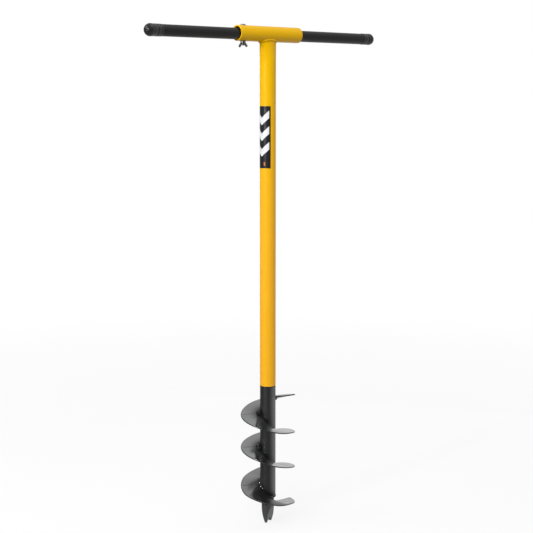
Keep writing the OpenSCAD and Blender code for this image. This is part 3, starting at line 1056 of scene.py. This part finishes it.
# bearings are in degrees to the right of the camera, seen from the auger
cameraPlan = dict(
    place=(-1.7695, -1.9128, 0.9276), pitch=-7.908, heading=42.709, lens=83.42, sensor=36, reach=60)
studio = dict(
    backdrop=1.0, dark=0.06, sky=0.30, skyEdge=(0.45, 0.6), ground=0.15, groundEdge=(0.40, 0.5),
    patch=0.62, patchBearing=135, patchDip=0.15, patchEdge=(0.3, 1.2),
    floor=dict(
        half=30.0, drop=0.4 * mm, fadeFrom=0.9, fadeTo=2.6, glow=0.82,
        light=(0.82, 0.82, 0.82), shade=(0.80, 0.80, 0.80), mottle=0.3),
    lights=[    # the plates would mirror the key box as a white glare
        dict(name="keyBox", bearing=-12, distance=4.5, height=3.4, aim=0.6, size=(3.2, 3.0), power=182,
             mirrored=False),
        dict(name="leftBox", bearing=-75, distance=3.0, height=2.7, aim=0.6, size=(1.6, 1.6), power=33),
        dict(name="topBox", bearing=60, distance=0.9, height=3.4, aim=0.9, size=(1.6, 1.6), power=11),
        dict(name="streak", bearing=-40, distance=2.4, height=1.36, aim=1.0, size=(0.12, 0.95), power=26),
        dict(name="lowBox", bearing=165, distance=1.1, height=0.27, aim=0.2, size=(1.3, 0.42), power=0.4)])


def compass(bearing):    # a bearing as an angle from +X
    return math.radians(-90 - cameraPlan["heading"] + bearing)


def setCamera():
    plan = cameraPlan
    data = bpy.data.cameras.new("studioCamera")
    data.lens = plan["lens"]
    data.sensor_width = plan["sensor"]
    data.clip_end = plan["reach"]
    camera = bpy.data.objects.new("studioCamera", data)
    camera.location = plan["place"]
    camera.rotation_euler = (math.radians(90 + plan["pitch"]), 0, math.radians(-plan["heading"]))
    bpy.context.scene.collection.objects.link(camera)
    bpy.context.scene.camera = camera


def addLight(name, bearing, distance, height, aim, size, power, mirrored=True):
    data = bpy.data.lights.new(name, "AREA")
    data.shape = "RECTANGLE"
    data.size, data.size_y = size
    data.energy = power
    light = bpy.data.objects.new(name, data)
    w = compass(bearing)
    light.location = (distance * math.cos(w), distance * math.sin(w), height)
    target = Vector((0, 0, aim)) - light.location
    light.rotation_euler = target.to_track_quat("-Z", "Y").to_euler()
    light.visible_camera = False
    light.visible_glossy = mirrored
    bpy.context.scene.collection.objects.link(light)


# white behind the auger, and a darker room with one bright side for it to reflect
def setWorld():
    world = bpy.data.worlds.new("studioWorld")
    bpy.context.scene.world = world
    f = Finish("studioWorld", world)
    way = f.node("ShaderNodeTexCoord", output="Generated")
    height = f.node("ShaderNodeSeparateXYZ", None, {0: way}, output="Z")
    w = compass(studio["patchBearing"])
    facing = f.node("ShaderNodeVectorMath", {"operation": "DOT_PRODUCT"}, {
        0: way, 1: (math.cos(w), math.sin(w), -studio["patchDip"])}, output="Value")
    room = studio["dark"] + height.above(*studio["skyEdge"]) * studio["sky"]
    room = room + (height * -1).above(*studio["groundEdge"]) * studio["ground"]
    room = room + facing.above(*studio["patchEdge"]) * studio["patch"]
    white = (1, 1, 1, 1)
    reflected = f.node("ShaderNodeBackground", None, {"Color": white, "Strength": room})
    seen = f.node("ShaderNodeBackground", None, {"Color": white, "Strength": studio["backdrop"]})
    ray = f.node("ShaderNodeLightPath", output="Is Camera Ray")
    mixed = f.node("ShaderNodeMixShader", None, {0: ray, 1: reflected, 2: seen})
    f.node("ShaderNodeOutputWorld", None, {"Surface": mixed})


# a pale floor that takes a soft shadow and fades into the white behind it
def addFloor():
    plan = studio["floor"]
    half, z = plan["half"], cadBox[0][2] - plan["drop"]
    corners = [(-half, -half, z), (half, -half, z), (half, half, z), (-half, half, z)]
    floor = makeObject("floor", corners, [(0, 1, 2, 3)])
    f = Finish("paleFloor")
    reach = f.node("ShaderNodeVectorMath", {"operation": "LENGTH"}, {0: f.place()}, output="Value")
    fade = ((reach - plan["fadeFrom"]) * (1 / (plan["fadeTo"] - plan["fadeFrom"]))).clamped()
    tone = f.mix(f.noise(3.0, 2.0) * plan["mottle"], plan["light"], plan["shade"])
    matt = f.node("ShaderNodeBsdfPrincipled", None, {
        "Base Color": tone, "Roughness": 1.0, "Specular IOR Level": 0.0})
    glow = f.node("ShaderNodeEmission", None, {"Color": (1, 1, 1, 1), "Strength": studio["backdrop"]})
    lit = plan["glow"] + fade * (1 - plan["glow"])
    mixed = f.node("ShaderNodeMixShader", None, {0: lit, 1: matt, 2: glow})
    f.node("ShaderNodeOutputMaterial", None, {"Surface": mixed})
    floor.data.materials.append(f.material)
    floor.visible_diffuse = False    # the floor doesn't light the auger from below
    floor.visible_glossy = False


setCamera()
setWorld()
addFloor()
for light in studio["lights"]:
    addLight(**light)
bpy.context.scene.view_settings.view_transform = "Standard"
print("studio made")
